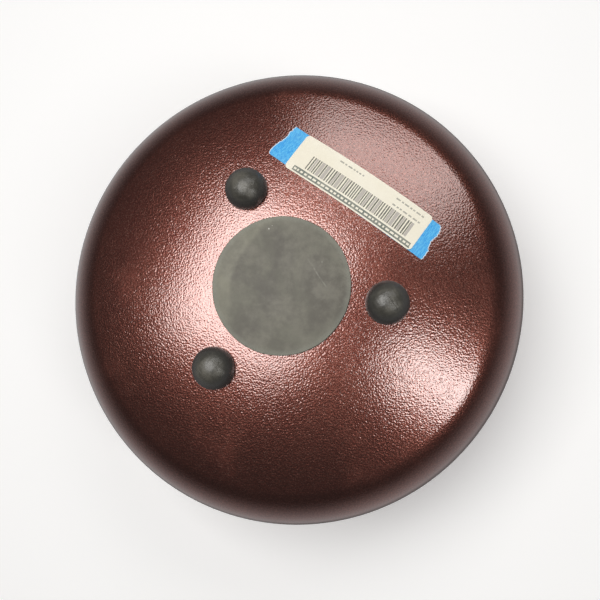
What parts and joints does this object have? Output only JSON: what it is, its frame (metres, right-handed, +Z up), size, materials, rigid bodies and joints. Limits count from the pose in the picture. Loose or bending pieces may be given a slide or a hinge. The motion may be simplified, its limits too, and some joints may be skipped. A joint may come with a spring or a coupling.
{
  "type": "steel tongue drum",
  "caption": "Closed steel drum of two domed half shells with U-shaped tongues cut in the top, domed rubber feet and a rubber-covered sound port below.",
  "frame": {"origin": "on the drum's axis, at the table plane that the feet stand on", "axes": "+Z up through the playing surface, along the drum's axis; -Y towards the player, where the longest tongue is; +X to the player's right"},
  "size_m": [0.3058, 0.3058, 0.1421],
  "materials": {
    "paint": "glossy maroon hammertone powder coat with fine orange peel and metallic flake",
    "foot_rubber": "moulded black rubber, slightly dusty",
    "cover_rubber": "smooth mid grey rubber sheet, mottled and scuffed",
    "steel": "zinc plated steel fasteners",
    "tape": "blue creped masking tape, torn ends",
    "label": null
  },
  "bodies": {
    "drum": {"top_shell": "paint", "bottom_shell": "paint", "seam_weld": "paint", "tape_strip": "tape", "price_label": "label", "foot_1": "foot_rubber", "foot_stud_1": "steel", "foot_washer_1": "steel", "foot_nut_1": "steel", "foot_2": "foot_rubber", "foot_stud_2": "steel", "foot_washer_2": "steel", "foot_nut_2": "steel", "foot_3": "foot_rubber", "foot_stud_3": "steel", "foot_washer_3": "steel", "foot_nut_3": "steel"},
    "tongue_1": {"tongue_1": "paint"},
    "tongue_2": {"tongue_2": "paint"},
    "tongue_3": {"tongue_3": "paint"},
    "tongue_4": {"tongue_4": "paint"},
    "tongue_5": {"tongue_5": "paint"},
    "tongue_6": {"tongue_6": "paint"},
    "tongue_7": {"tongue_7": "paint"},
    "tongue_8": {"tongue_8": "paint"},
    "tongue_centre": {"tongue_centre": "paint"},
    "port_cover": {"port_cover": "cover_rubber"}
  },
  "joints": [
    {"name": "tongue_1_flex", "type": "hinge", "parent": "drum", "child": "tongue_1", "pos_m": [0, -0.11785, 0.12662], "axis": [1, 0, 0], "range_deg": [-0.5, 0.5], "stiffness_Nm_per_rad": 8.46},
    {"name": "tongue_2_flex", "type": "hinge", "parent": "drum", "child": "tongue_2", "pos_m": [-0.08333, -0.08333, 0.12662], "axis": [0.7071, -0.7071, 0], "range_deg": [-0.5, 0.5], "stiffness_Nm_per_rad": 7.36},
    {"name": "tongue_3_flex", "type": "hinge", "parent": "drum", "child": "tongue_3", "pos_m": [0.08333, -0.08333, 0.12662], "axis": [0.7071, 0.7071, 0], "range_deg": [-0.5, 0.5], "stiffness_Nm_per_rad": 6.37},
    {"name": "tongue_4_flex", "type": "hinge", "parent": "drum", "child": "tongue_4", "pos_m": [-0.11785, 0, 0.12662], "axis": [0, -1, 0], "range_deg": [-0.5, 0.5], "stiffness_Nm_per_rad": 5.61},
    {"name": "tongue_5_flex", "type": "hinge", "parent": "drum", "child": "tongue_5", "pos_m": [0.11785, 0, 0.12662], "axis": [0, 1, 0], "range_deg": [-0.5, 0.5], "stiffness_Nm_per_rad": 4.92},
    {"name": "tongue_6_flex", "type": "hinge", "parent": "drum", "child": "tongue_6", "pos_m": [-0.08333, 0.08333, 0.12662], "axis": [-0.7071, -0.7071, 0], "range_deg": [-0.5, 0.5], "stiffness_Nm_per_rad": 4.28},
    {"name": "tongue_7_flex", "type": "hinge", "parent": "drum", "child": "tongue_7", "pos_m": [0.08333, 0.08333, 0.12662], "axis": [-0.7071, 0.7071, 0], "range_deg": [-0.5, 0.5], "stiffness_Nm_per_rad": 3.7},
    {"name": "tongue_8_flex", "type": "hinge", "parent": "drum", "child": "tongue_8", "pos_m": [0, 0.11785, 0.12662], "axis": [-1, 0, 0], "range_deg": [-0.5, 0.5], "stiffness_Nm_per_rad": 3.18},
    {"name": "tongue_centre_flex", "type": "hinge", "parent": "drum", "child": "tongue_centre", "pos_m": [0, -0.01885, 0.14098], "axis": [1, 0, 0], "range_deg": [-0.5, 0.5], "stiffness_Nm_per_rad": 1.24},
    {"name": "port_cover_lift", "type": "slide", "parent": "drum", "child": "port_cover", "axis": [0, 0, -1], "range_m": [0, 0.06]}
  ]
}
